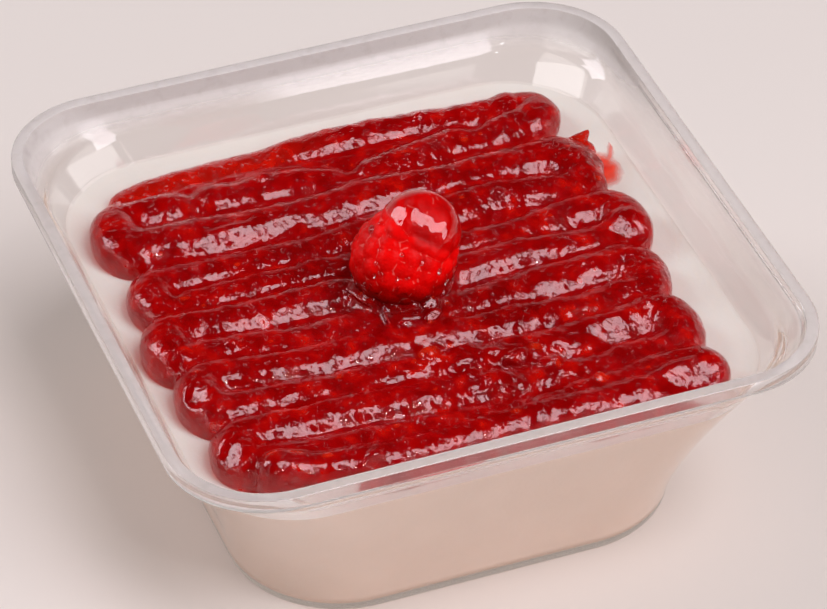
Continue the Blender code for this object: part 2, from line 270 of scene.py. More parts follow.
def plastic_material():
    """Clear plastic, with a pale satin haze on the rim's flat land and a
    fainter one in the thick ring under it."""
    mat = bpy.data.materials.new("clear_plastic")
    nt, new, link = nodes_of(mat)
    p = new("ShaderNodeBsdfPrincipled")
    p.inputs["Base Color"].default_value = (0.95, 0.925, 0.91, 1)
    p.inputs["Transmission Weight"].default_value = 1.0
    p.inputs["IOR"].default_value = 1.52
    vec = coordinates(new, link)
    n = noise_node(new, link, vec, 55.0, 2.0)
    r = new("ShaderNodeMapRange")
    r.inputs["To Min"].default_value = 0.04
    r.inputs["To Max"].default_value = 0.08
    link(n.outputs["Fac"], r.inputs["Value"])
    link(r.outputs[0], p.inputs["Roughness"])
    haze = new("ShaderNodeBsdfPrincipled")
    haze.inputs["Base Color"].default_value = (0.36, 0.335, 0.32, 1)
    haze.inputs["Roughness"].default_value = 0.45
    haze.inputs["IOR"].default_value = 1.30
    place = new("ShaderNodeSeparateXYZ")
    link(vec, place.inputs[0])
    geo = new("ShaderNodeNewGeometry")
    face = new("ShaderNodeSeparateXYZ")
    link(geo.outputs["Normal"], face.inputs[0])

    def part(source, low, high, top):
        m = new("ShaderNodeMapRange")
        m.inputs["From Min"].default_value = low
        m.inputs["From Max"].default_value = high
        m.inputs["To Max"].default_value = top
        link(source, m.inputs["Value"])
        return m.outputs[0]

    def math_node(kind, a, b):
        m = new("ShaderNodeMath")
        m.operation = kind
        link(a, m.inputs[0])
        link(b, m.inputs[1])
        return m.outputs[0]

    up = math_node("MULTIPLY", part(place.outputs["Z"], 0.0428, 0.0433, 1.0),
                   part(face.outputs["Z"], 0.55, 0.95, 0.62))
    ring = new("ShaderNodeAttribute")
    ring.attribute_name = "ring_haze"
    speck = noise_node(new, link, vec, 420.0, 3.0)
    amount = math_node("MULTIPLY", math_node("MAXIMUM", up, ring.outputs["Fac"]),
                       part(speck.outputs["Fac"], -1.2, 0.5, 1.0))
    mix = new("ShaderNodeMixShader")
    link(amount, mix.inputs[0])
    link(p.outputs[0], mix.inputs[1])
    link(haze.outputs[0], mix.inputs[2])
    lamps_through(nt, new, link, mix.outputs[0], (0.97, 0.955, 0.95), soft=True)
    return mat


def pudding_material():
    mat = bpy.data.materials.new("milk_pudding")
    nt, new, link = nodes_of(mat)
    vec = coordinates(new, link)
    p = new("ShaderNodeBsdfPrincipled")
    # painted shade: the sides are darker and warmer than the top, standing in for the shade and warm bounce light that
    # fall on them
    geo = new("ShaderNodeNewGeometry")
    sep = new("ShaderNodeSeparateXYZ")
    link(geo.outputs["Normal"], sep.inputs[0])
    side = ramp(new, link, sep.outputs["Z"],
                [(0.25, (0.79, 0.635, 0.54)), (0.75, (0.79, 0.75, 0.685))])
    blotch = noise_node(new, link, vec, 90.0, 4.0)
    tone = ramp(new, link, blotch.outputs["Fac"],
                [(0.3, (0.955, 0.95, 0.945)), (0.7, (1.0, 1.0, 1.0))])
    mul = new("ShaderNodeMix")
    mul.data_type = "RGBA"
    mul.blend_type = "MULTIPLY"
    mul.inputs["Factor"].default_value = 1.0
    link(side.outputs["Color"], mul.inputs["A"])
    link(tone.outputs["Color"], mul.inputs["B"])
    link(mul.outputs["Result"], p.inputs["Base Color"])
    p.inputs["Subsurface Weight"].default_value = 0.25
    p.inputs["Subsurface Radius"].default_value = (0.0016, 0.0012, 0.0010)
    p.inputs["Subsurface Scale"].default_value = 1.0
    p.inputs["Roughness"].default_value = 0.42
    p.inputs["IOR"].default_value = 1.38
    grain = noise_node(new, link, vec, 900.0, 3.0, 0.6)
    b = new("ShaderNodeBump")
    b.inputs["Strength"].default_value = 0.25
    b.inputs["Distance"].default_value = 0.0002
    link(grain.outputs["Fac"], b.inputs["Height"])
    link(b.outputs[0], p.inputs["Normal"])
    out = new("ShaderNodeOutputMaterial")
    link(p.outputs[0], out.inputs["Surface"])
    return mat


def jam_material():
    body = ((0.25, 0.0, 0.001), (0.50, 0.001, 0.002), (0.92, 0.012, 0.004))
    mat = bpy.data.materials.new("raspberry_jam")
    nt, new, link = nodes_of(mat)
    vec = coordinates(new, link)
    pulp = noise_node(new, link, vec, 330.0, 3.0, 0.55)
    tone = ramp(new, link, pulp.outputs["Fac"],
                [(0.36, body[0]), (0.56, body[1]), (0.74, body[2])])
    fine = noise_node(new, link, vec, 700.0, 2.0, 0.5)
    spot = noise_node(new, link, vec, 1150.0, 0.0, 0.5)
    pit = new("ShaderNodeMapRange")      # small pits
    pit.interpolation_type = "SMOOTHSTEP"
    pit.inputs["From Min"].default_value = 0.60
    pit.inputs["From Max"].default_value = 0.74
    pit.inputs["To Max"].default_value = 1.1
    link(spot.outputs["Fac"], pit.inputs["Value"])
    height = new("ShaderNodeMath")
    height.operation = "SUBTRACT"
    link(fine.outputs["Fac"], height.inputs[0])
    link(pit.outputs[0], height.inputs[1])
    b = new("ShaderNodeBump")
    b.inputs["Strength"].default_value = 1.0
    b.inputs["Distance"].default_value = 0.00013
    link(height.outputs[0], b.inputs["Height"])

    gel = new("ShaderNodeBsdfPrincipled")
    gel.inputs["Base Color"].default_value = (1, 1, 1, 1)
    gel.inputs["Transmission Weight"].default_value = 1.0
    gel.inputs["IOR"].default_value = 1.52
    gel.inputs["Roughness"].default_value = 0.03
    link(b.outputs[0], gel.inputs["Normal"])

    # the pulp attribute: orange bits of fruit pulp, and at the torn end and the thin left part of the back pass a
    # painted glow of light shining through the thin jam
    at = new("ShaderNodeAttribute")
    at.attribute_name = "pulp"
    bit = new("ShaderNodeMix")
    bit.data_type = "RGBA"
    link(at.outputs["Fac"], bit.inputs["Factor"])
    link(tone.outputs["Color"], bit.inputs["A"])
    bit.inputs["B"].default_value = (0.95, 0.042, 0.008, 1)

    flesh = new("ShaderNodeBsdfPrincipled")
    link(bit.outputs["Result"], flesh.inputs["Base Color"])
    flesh.inputs["Subsurface Weight"].default_value = 0.35
    flesh.inputs["Subsurface Radius"].default_value = (0.0012, 0.0002, 0.0001)
    flesh.inputs["Subsurface Scale"].default_value = 1.0
    flesh.inputs["IOR"].default_value = 1.52
    flesh.inputs["Roughness"].default_value = 0.045
    link(b.outputs[0], flesh.inputs["Normal"])

    mix = new("ShaderNodeMixShader")
    share = new("ShaderNodeMapRange")
    share.inputs["To Min"].default_value = 0.55
    share.inputs["To Max"].default_value = 0.2
    link(at.outputs["Fac"], share.inputs["Value"])
    link(share.outputs[0], mix.inputs[0])
    link(flesh.outputs[0], mix.inputs[1])
    link(gel.outputs[0], mix.inputs[2])
    out = lamps_through(nt, new, link, mix.outputs[0], (0.65, 0.10, 0.10))
    absorb = new("ShaderNodeVolumeAbsorption")
    absorb.inputs["Color"].default_value = (0.97, 0.02, 0.04, 1)
    absorb.inputs["Density"].default_value = 1500.0
    link(absorb.outputs[0], out.inputs["Volume"])
    return mat


def film_material():
    """A film of jam on the pudding: orange red where it is thick, pink and
    fading out where it is thin."""
    mat = bpy.data.materials.new("jam_film")
    nt, new, link = nodes_of(mat)
    at = new("ShaderNodeAttribute")
    at.attribute_name = "film"
    tone = ramp(new, link, at.outputs["Fac"],
                [(0.0, (0.90, 0.30, 0.26)), (0.45, (0.90, 0.085, 0.045)),
                 (1.0, (0.72, 0.012, 0.008))])
    p = new("ShaderNodeBsdfPrincipled")
    link(tone.outputs["Color"], p.inputs["Base Color"])
    p.inputs["Roughness"].default_value = 0.22
    p.inputs["IOR"].default_value = 1.40
    clear = new("ShaderNodeBsdfTransparent")
    share = new("ShaderNodeMapRange")
    share.inputs["From Min"].default_value = 0.02
    share.inputs["From Max"].default_value = 0.55
    link(at.outputs["Fac"], share.inputs["Value"])
    mix = new("ShaderNodeMixShader")
    link(share.outputs[0], mix.inputs[0])
    link(clear.outputs[0], mix.inputs[1])
    link(p.outputs[0], mix.inputs[2])
    out = new("ShaderNodeOutputMaterial")
    link(mix.outputs[0], out.inputs["Surface"])
    return mat


def raspberry_material():
    mat = bpy.data.materials.new("raspberry")
    nt, new, link = nodes_of(mat)
    vec = coordinates(new, link)
    p = new("ShaderNodeBsdfPrincipled")
    at = new("ShaderNodeAttribute")
    at.attribute_name = "crease"
    blotch = noise_node(new, link, vec, 260.0, 3.0)
    tone = ramp(new, link, blotch.outputs["Fac"],
                [(0.35, (0.62, 0.0, 0.0)), (0.65, (0.95, 0.001, 0.001))])
    # painted highlight: pale pink lines in the creases between drupelets stand in for glints of the wet glaze there
    painted_crease_glint = ramp(new, link, at.outputs["Fac"],
                 [(0.0, (0.0, 0.0, 0.0)), (0.55, (0.0, 0.0, 0.0)),
                  (0.95, (0.46, 0.46, 0.46))])
    mix = new("ShaderNodeMix")
    mix.data_type = "RGBA"
    link(painted_crease_glint.outputs["Color"], mix.inputs["Factor"])
    link(tone.outputs["Color"], mix.inputs["A"])
    mix.inputs["B"].default_value = (0.95, 0.24, 0.21, 1)
    low = new("ShaderNodeSeparateXYZ")
    link(vec, low.inputs[0])
    shade = ramp(new, link, low.outputs["Z"],
                 [(0.0, (0.0, 0.0, 0.0)), (1.0, (1.0, 1.0, 1.0))])
    # darker towards the foot of the berry, down to 0.30 of its colour: painted shade where it sits down in the jam,
    # together with the darker juice-wet base
    foot_shade_and_juice = new("ShaderNodeMapRange")
    foot_shade_and_juice.inputs["From Min"].default_value = 0.0395
    foot_shade_and_juice.inputs["From Max"].default_value = 0.0436
    foot_shade_and_juice.inputs["To Min"].default_value = 0.30
    foot_shade_and_juice.inputs["To Max"].default_value = 1.0
    link(low.outputs["Z"], foot_shade_and_juice.inputs["Value"])
    nt.nodes.remove(shade)
    mul = new("ShaderNodeMix")
    mul.data_type = "RGBA"
    mul.blend_type = "MULTIPLY"
    mul.inputs["Factor"].default_value = 1.0
    link(mix.outputs["Result"], mul.inputs["A"])
    link(foot_shade_and_juice.outputs[0], mul.inputs["B"])
    link(mul.outputs["Result"], p.inputs["Base Color"])
    p.inputs["Subsurface Weight"].default_value = 0.5
    p.inputs["Subsurface Radius"].default_value = (0.003, 0.0004, 0.0003)
    p.inputs["Subsurface Scale"].default_value = 1.0
    p.inputs["Roughness"].default_value = 0.38
    p.inputs["IOR"].default_value = 1.18
    fine = noise_node(new, link, vec, 1800.0, 3.0)
    b = new("ShaderNodeBump")
    b.inputs["Strength"].default_value = 0.25
    b.inputs["Distance"].default_value = 0.0002
    link(fine.outputs["Fac"], b.inputs["Height"])
    link(b.outputs[0], p.inputs["Normal"])
    out = new("ShaderNodeOutputMaterial")
    link(p.outputs[0], out.inputs["Surface"])
    return mat


def glaze_material():
    mat = bpy.data.materials.new("clear_glaze")
    nt, new, link = nodes_of(mat)
    p = new("ShaderNodeBsdfPrincipled")
    p.inputs["Base Color"].default_value = (1.0, 0.90, 0.89, 1)
    p.inputs["Transmission Weight"].default_value = 1.0
    p.inputs["IOR"].default_value = 1.50
    p.inputs["Roughness"].default_value = 0.03
    vec = coordinates(new, link)
    n = noise_node(new, link, vec, 320.0, 2.0)
    b = new("ShaderNodeBump")
    b.inputs["Strength"].default_value = 0.45
    b.inputs["Distance"].default_value = 0.0003
    link(n.outputs["Fac"], b.inputs["Height"])
    link(b.outputs[0], p.inputs["Normal"])
    lamps_through(nt, new, link, p.outputs[0], (0.98, 0.90, 0.90))
    return mat


# ------------------------------------------------------------------ the cup
def arc(cx, cz, r, a0, a1, steps):
    return [(cx + r * math.cos(math.radians(a0 + (a1 - a0) * i / steps)),
             cz + r * math.sin(math.radians(a0 + (a1 - a0) * i / steps)))
            for i in range(steps + 1)]


def build_cup():
    bead_z = CUP_HEIGHT - RIM_BEAD
    prof = []                     # (half, corner radius, z)
    hazy = {}                     # faint haze on the wall just under the bead

    def add(half, z, ref_half, ref_corner):
        prof.append((half, max(2.0, ref_corner - (ref_half - half)), z))

    def inside(half, corner, z):
        """An inner ring, kept clear of the outer wall at the corners too."""
        diagonal = 2 ** 0.5
        half = min(half, outer_half(z) - 0.3)
        reach = diagonal * outer_half(z) - (diagonal - 1) * outer_corner(z) - 0.4
        corner = max(corner, (diagonal * half - reach) / (diagonal - 1))
        prof.append((half, corner, z))

    for x, z in arc(FOOT_HALF - FOOT_ROUND, FOOT_ROUND, FOOT_ROUND, 270, 360, 6):
        add(x, z, FOOT_HALF, FOOT_CORNER)
    for k in range(1, 27):
        z = FOOT_ROUND + (bead_z - 0.4 - FOOT_ROUND) * k / 26
        prof.append((outer_half(z), outer_corner(z), z))
    hazy[len(prof) - 1] = 0.22
    e = 0.16
    wall = outer_half(bead_z)
    for t in (0.35, 0.7, 1.0):    # small fillet under the bead
        prof.append((outer_half(bead_z - 0.4) + (wall + 0.35 - outer_half(bead_z - 0.4)) * t ** 2,
                     outer_corner(bead_z), bead_z - 0.4 + 0.4 * t))
        hazy[len(prof) - 1] = 0.30
    back = {}                     # haze that only the back of the rim has
    for x, z in arc(RIM_HALF - e, bead_z + e, e, 270, 360, 5):
        add(x, z, RIM_HALF, RIM_CORNER)
        back[len(prof) - 1] = 0.45
    for x, z in arc(RIM_HALF - e, CUP_HEIGHT - e, e, 0, 90, 6):
        add(x, z, RIM_HALF, RIM_CORNER)
        back[len(prof) - 1] = 0.70
    land = RIM_HALF - RIM_LAND
    for x, z in arc(land + e, CUP_HEIGHT - e, e, 90, 180, 5):
        add(x, z, RIM_HALF, RIM_CORNER)
        back[len(prof) - 1] = 0.85
    upright, joint = 40.6, 37.2   # the rim's upright inner face, and its slope
    inside(land, RIM_CORNER - RIM_LAND, upright + 0.25)
    back[len(prof) - 1] = 0.80
    inside(land - 0.06, RIM_CORNER - RIM_LAND, upright)
    back[len(prof) - 1] = 0.75
    for t in (0.12, 0.3, 0.5, 0.7, 0.88, 1.0):
        inside(land - 0.06 + (inner_half(joint) - land + 0.06) * t,
               RIM_CORNER - RIM_LAND + (inner_corner(joint) - RIM_CORNER + RIM_LAND) * t,
               upright + (joint - upright) * t)
        back[len(prof) - 1] = 0.70 * (1 - float(smoothstep(0.1, 0.9, t)))
    floor_z = FLOOR + 2.2
    for k in range(1, 27):
        z = joint + (floor_z - joint) * k / 26
        prof.append((inner_half(z), inner_corner(z), z))
    for x, z in arc(inner_half(floor_z) - 2.2, floor_z, 2.2, 0, -90, 7)[1:]:
        add(x, z, inner_half(floor_z), inner_corner(floor_z))
    bm = bmesh.new()
    rows = loft(bm, [rounded_square(h, r, z) for h, r, z in prof])
    me = mesh_from(bm, "cup_clear", sharp=42)
    haze = np.repeat([hazy.get(i, 0.0) for i in range(len(prof))], len(rows[0]))
    far = np.repeat([back.get(i, 0.0) for i in range(len(prof))], len(rows[0]))
    haze = np.maximum(haze, far * smoothstep(14, 36, coords(me)[:, 1] / MM))
    at = me.attributes.new("ring_haze", "FLOAT", "POINT")
    at.data.foreach_set("value", haze.astype(np.float32))
    ob = new_object("cup_clear", me, plastic_material())
    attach(ob, "root")
    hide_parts("cup")
    return ob


# ------------------------------------------------------------- the pudding
def build_pudding():
    into = 0.35                   # how far it reaches into the plastic
    prof = []
    floor_z = FLOOR + 2.2
    for x, z in arc(inner_half(floor_z) - 2.2, floor_z, 2.2 + into, -90, 0, 7):
        prof.append((x, inner_corner(floor_z) - inner_half(floor_z) + x, z))
    top = LEVEL + 0.75
    for k in range(1, 25):
        z = floor_z + (top - floor_z) * k / 24
        prof.append((inner_half(z) + into, inner_corner(z) + into, z))
    edge = inner_half(top) + into
    corner = inner_corner(top) + into
    width = 3.2
    for k in range(1, 11):
        t = k / 10
        d = (width + into) * t
        prof.append((edge - d, corner - d, LEVEL + 0.75 * (1 - t) ** 2.6))
    inner_edge, inner_c = edge - width - into, corner - width - into
    for k in range(1, 26):
        s = 1 - k / 26
        prof.append((inner_edge * s, max(0.3, inner_c * s), LEVEL))
    bm = bmesh.new()
    loft(bm, [rounded_square(h, r, z) for h, r, z in prof])
    me = mesh_from(bm, "pudding_fill", sharp=50)
    co = coords(me)
    n = Noise(11)
    q = co / MM
    wave = 0.10 * n(q * (0.09, 0.09, 0.0) + (3, 7, 1)) \
        + 0.04 * n(q * (0.3, 0.3, 0.0))
    co[:, 2] += np.where(q[:, 2] > LEVEL - 0.01, wave, 0.0) * MM
    set_coords(me, co)
    ob = new_object("pudding_fill", me, pudding_material())
    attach(ob, "root")
    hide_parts("pudding")
    return ob


# ------------------------------------------------------------------ the jam
# Centre lines of the twelve passes of the piped line, back to front, as points
# (x, y) in mm, with each pass's half width and height.
PASSES = (
    (((-38, 36.4), (-33, 37.4), (-28, 38.0), (-20, 38.6), (-10, 38.5), (0, 38.6), (15, 38.4), (28, 37.0), (35, 37.9)), 3.8, 4.6),
    (((-34, 31.0), (-20, 30.4), (-9, 29.9), (0, 27.4), (9, 28.6), (20, 31.0), (27, 30.5), (33, 32.2)), 4.2, 5.6),
    (((-32, 22.0), (-19, 20.9), (-9, 21.0), (0, 21.6), (7, 22.0), (15, 20.8), (25, 21.2), (36, 21.6)), 4.8, 6.2),
    (((-36, 12.0), (-20, 11.3), (-10, 11.3), (-4, 12.5), (13, 13.4), (18, 14.3), (27, 13.4), (34, 11.4)), 4.3, 5.9),
    (((-30, 5.0), (-16, 5.3), (0, 4.8), (13, 4.1), (20, 3.4), (29, 5.1), (34, 5.7)), 3.9, 5.8),
    (((-40, -0.5), (-30, -1.3), (-20, -1.0), (-9, -2.0), (11, -2.3), (20, -2.0), (27, -3.2), (34, -3.4)), 4.2, 6.2),
    (((-34, -8.5), (-25, -10.0), (-13, -10.8), (5, -11.6), (14, -11.0), (20, -10.2), (28, -9.9), (34, -9.4)), 4.3, 6.1),
    (((-37, -13.8), (-30, -15.3), (-20, -15.8), (-8, -16.3), (5, -17.7), (16, -18.0), (23, -19.3), (30, -18.1)), 4.1, 6.1),
    (((-33, -22.5), (-25, -23.6), (-14, -24.1), (4, -25.3), (15, -25.9), (23, -24.9), (30, -24.2), (34, -23.0)), 4.1, 6.2),
    (((-37, -29.1), (-30, -29.4), (-20, -29.5), (-9, -30.8), (0, -32.3), (9, -33.7), (20, -34.0), (28, -32.9)), 4.1, 6.1),
    (((-36, -35.8), (-30, -37.3), (-20, -38.1), (0, -39.5), (9, -40.6), (17, -38.6), (25, -38.3), (34, -37.8)), 4.1, 5.9),
    (((-38, -39.2), (-30, -41.0), (-20, -42.2), (-10, -42.3), (0, -42.0), (9, -42.0), (19, -42.2), (26, -42.0), (34, -41.3)), 3.7, 6.3),
)
LEFT_TURNS = (-45.9, -45.4, -47.4, -46.2, -45.3)
RIGHT_TURNS = (41.6, 41.8, 44.0, 41.2, 40.9, 40.2)
TURN_SWELL = 1.08


def pass_curve(index):
    """Smooth y(x) through one pass's points."""
    pts = np.array(PASSES[index][0], float)
    xs, ys = pts[:, 0], pts[:, 1]
    slope = np.gradient(ys, xs)

    def y(x):
        x = np.asarray(x, float)
        i = np.clip(np.searchsorted(xs, x) - 1, 0, len(xs) - 2)
        h = xs[i + 1] - xs[i]
        t = (x - xs[i]) / h
        low, high = t < 0, t > 1
        tc = np.clip(t, 0, 1)
        v = ((2 * tc ** 3 - 3 * tc ** 2 + 1) * ys[i]
             + (tc ** 3 - 2 * tc ** 2 + tc) * h * slope[i]
             + (-2 * tc ** 3 + 3 * tc ** 2) * ys[i + 1]
             + (tc ** 3 - tc ** 2) * h * slope[i + 1])
        v = np.where(low, ys[0] + (x - xs[0]) * slope[0] * 0.5, v)
        return np.where(high, ys[-1] + (x - xs[-1]) * slope[-1] * 0.5, v)
    return y


CURVES = [pass_curve(i) for i in range(len(PASSES))]


def turn(side, reach, first, second, xs):
    y1, y2 = float(CURVES[first](xs)), float(CURVES[second](xs))
    half = 0.5 * (PASSES[first][1] + PASSES[second][1]) * TURN_SWELL
    depth = side * (reach - side * half - xs)
    out = []
    count = 18
    for i in range(1, count):
        a = math.pi * i / count
        s = math.sin(a)
        out.append((xs + side * depth * s ** 0.8,
                    0.5 * (y1 + y2) + 0.5 * (y1 - y2) * math.cos(a),
                    1.0 + (TURN_SWELL - 1.0) * s, 0.5 - 0.5 * math.cos(a)))
    return out


def rope_stations():
    """(x, y, half, height, lift) along the whole line, front pass first."""
    n = Noise(5)
    last = len(PASSES) - 1
    run = []
    rightwards = True
    for index in range(last, -1, -1):
        _, half, height = PASSES[index]
        right = RIGHT_TURNS[index // 2]
        left = LEFT_TURNS[(index - 1) // 2] if 0 < index < last else None
        x_right = right - 7.4
        x_left = left + 7.4 if left is not None else (-36.8 if index == last else -36.4)
        xs = np.linspace(x_left, x_right, int((x_right - x_left) / 0.8))
        if not rightwards:
            xs = xs[::-1]
        ys = CURVES[index](xs)
        k = np.full(len(xs), float(index))
        p = np.stack([xs, k * 7.3, k * 0.0], 1)
        w = half * (1 + 0.05 * n(p * (0.13, 1, 1)) + 0.035 * n(p * (0.42, 1, 1) + 9))
        h = height * (1 + 0.05 * n(p * (0.12, 1, 1) + 21) + 0.035 * n(p * (0.37, 1, 1) + 5))
        y_shift = 0.30 * n(p * (0.16, 1, 1) + 33)
        lift = np.zeros(len(xs))
        if index == 1:            # three bulges that end at pinches
            for c, d in ((-26.6, 0.20), (-18.5, 0.08), (0.6, 0.18), (25.0, 0.16)):
                g = np.exp(-((xs - c) / 1.9) ** 2)
                w *= 1 - d * g
                h *= 1 - d * g
        if index == 0:            # thin and low at its left, fuller at its right
            full = smoothstep(-14.0, -4.0, xs)
            w *= 0.96 + 0.06 * full
            h *= 0.84 + 0.32 * full
            end = smoothstep(-38.0, -31.0, xs)
            w *= 0.86 + 0.14 * end
            h *= 0.88 + 0.12 * end
        if index >= last - 1:     # the last turn is broad
            w *= 1 + 0.13 * smoothstep(19.0, 30.0, xs)
        if index == last:         # starts on top of the turn behind it
            lift = 1.1 * (1 - smoothstep(-37.0, -29.0, xs))
        for row in zip(xs, ys + y_shift, w, h, lift):
            run.append(tuple(float(v) for v in row))
        if index == 0:
            break
        side = 1.0 if rightwards else -1.0
        reach = right if rightwards else left
        n_half, n_height = PASSES[index - 1][1:]
        for x, y, swell, share in turn(side, reach, index, index - 1, float(xs[-1])):
            broad = 1.10 if index == last else 1.0
            run.append((x, y, (half + (n_half - half) * share) * swell * broad,
                        (height + (n_height - height) * share) * swell, 0.0))
        rightwards = not rightwards
    return run


def rope_section(half, height, foot=0.86, widest=0.40, points=26):
    pts = []
    side_steps = 5
    for i in range(side_steps):
        a = math.radians(90.0 * i / side_steps)
        pts.append((half * (foot + (1 - foot) * math.sin(a)),
                    height * widest * (1 - math.cos(a))))
    top_steps = points - 2 * side_steps
    for i in range(top_steps + 1):
        a = math.pi * i / top_steps
        pts.append((half * math.cos(a),
                    height * (widest + (1 - widest) * math.sin(a))))
    for i in reversed(range(side_steps)):
        a = math.radians(90.0 * i / side_steps)
        pts.append((-half * (foot + (1 - foot) * math.sin(a)),
                    height * widest * (1 - math.cos(a))))
    return pts


def sweep(bm, stations, z0, foot=0.86):
    pts = [Vector((s[0], s[1], 0.0)) for s in stations]
    tan = [(pts[min(i + 1, len(pts) - 1)] - pts[max(i - 1, 0)]).normalized()
           for i in range(len(pts))]

    def ring(p, t, half, height, lift):
        across = Vector((-t.y, t.x, 0.0))
        return [(p + across * u + Vector((0, 0, z0 + lift + v))) * MM
                for u, v in rope_section(half, height, foot)]

    cap = [(math.cos(math.radians(a)), math.sin(math.radians(a)))
           for a in (84, 72, 60, 48, 36, 24, 12)]
    rings = []
    s = stations[0]
    for c, r in sorted(((math.sin(math.radians(a)), math.cos(math.radians(a)))
                        for a in (84, 72, 60, 48, 36, 24, 12)), reverse=True):
        rings.append(ring(pts[0] - tan[0] * (s[2] * c), tan[0], s[2] * r,
                          s[3] * (0.2 + 0.8 * r), s[4]))
    for s, p, t in zip(stations, pts, tan):
        rings.append(ring(p, t, s[2], s[3], s[4]))
    s = stations[-1]
    for c, r in sorted((math.sin(math.radians(a)), math.cos(math.radians(a)))
                       for a in (84, 72, 60, 48, 36, 24, 12)):
        rings.append(ring(pts[-1] + tan[-1] * (s[2] * c), tan[-1], s[2] * r,
                          s[3] * (0.2 + 0.8 * r), s[4]))
    loft(bm, rings)


def blob(bm, centre, radii, turn_z=0.0, lean=0.0, level=2):
    """A closed ellipsoid, in mm, turned about Z and leaned to the front."""
    m = (Matrix.Translation(Vector(centre) * MM)
         @ Matrix.Rotation(math.radians(lean), 4, "X")
         @ Matrix.Rotation(math.radians(turn_z), 4, "Z")
         @ Matrix.Diagonal((*[r * MM for r in radii], 1.0)))
    bmesh.ops.create_icosphere(bm, subdivisions=level, radius=1.0, matrix=m)


def lens(bm, centre, way, radii, turn=0.0, level=2):
    """A closed ellipsoid, in mm, whose short axis points along way."""
    m = (Matrix.Translation(Vector(centre) * MM)
         @ Vector(way).to_track_quat("Z", "Y").to_matrix().to_4x4()
         @ Matrix.Rotation(math.radians(turn), 4, "Z")
         @ Matrix.Diagonal((*[r * MM for r in radii], 1.0)))
    bmesh.ops.create_icosphere(bm, subdivisions=level, radius=1.0, matrix=m)


def cone(bm, foot, tip, r1, r2, segments=20):
    a, b = Vector(foot) * MM, Vector(tip) * MM
    axis = b - a
    m = axis.to_track_quat("Z", "Y").to_matrix().to_4x4()
    m.translation = a + axis * 0.5
    bmesh.ops.create_cone(bm, cap_ends=True, segments=segments, radius1=r1 * MM,
                          radius2=r2 * MM, depth=axis.length, matrix=m)


def nearest_on_rope(run, q):
    """For points q (mm): index of the nearest station, signed distance across
    and length along the line."""
    pts = np.array([(s[0], s[1]) for s in run])
    seg = np.linalg.norm(np.diff(pts, axis=0), axis=1)
    length = np.concatenate([[0], np.cumsum(seg)])
    tree = KDTree(len(pts))
    for i, p in enumerate(pts):
        tree.insert((p[0], p[1], 0.0), i)
    tree.balance()
    idx = np.array([tree.find((x, y, 0.0))[1] for x, y in q[:, :2]])
    t = np.gradient(pts, axis=0)
    t /= np.linalg.norm(t, axis=1)[:, None]
    d = q[:, :2] - pts[idx]
    along = (d * t[idx]).sum(1)
    across = t[idx][:, 0] * d[:, 1] - t[idx][:, 1] * d[:, 0]
    return idx, across, length[idx] + along


def remeshed(bm, name, voxel, smooth=2):
    """The union of everything in bm, as one even mesh."""
    me = mesh_from(bm, name + "_rough")
    ob = new_object(name + "_rough", me)
    mod = ob.modifiers.new("join", "REMESH")
    mod.mode = "VOXEL"
    mod.voxel_size = voxel * MM
    if smooth:
        sm = ob.modifiers.new("soften", "SMOOTH")
        sm.factor = 0.5
        sm.iterations = smooth
    out = bpy.data.meshes.new_from_object(
        ob.evaluated_get(bpy.context.evaluated_depsgraph_get()))
    out.name = name
    bpy.data.objects.remove(ob, do_unlink=True)
    bpy.data.meshes.remove(me)
    out.shade_smooth()
    return out


def thinned(me, name, ratio):
    ob = new_object(name + "_full", me)
    mod = ob.modifiers.new("thin", "DECIMATE")
    mod.ratio = ratio
    out = bpy.data.meshes.new_from_object(
        ob.evaluated_get(bpy.context.evaluated_depsgraph_get()))
    bpy.data.objects.remove(ob, do_unlink=True)
    bpy.data.meshes.remove(me)
    out.name = name
    out.shade_smooth()
    return out


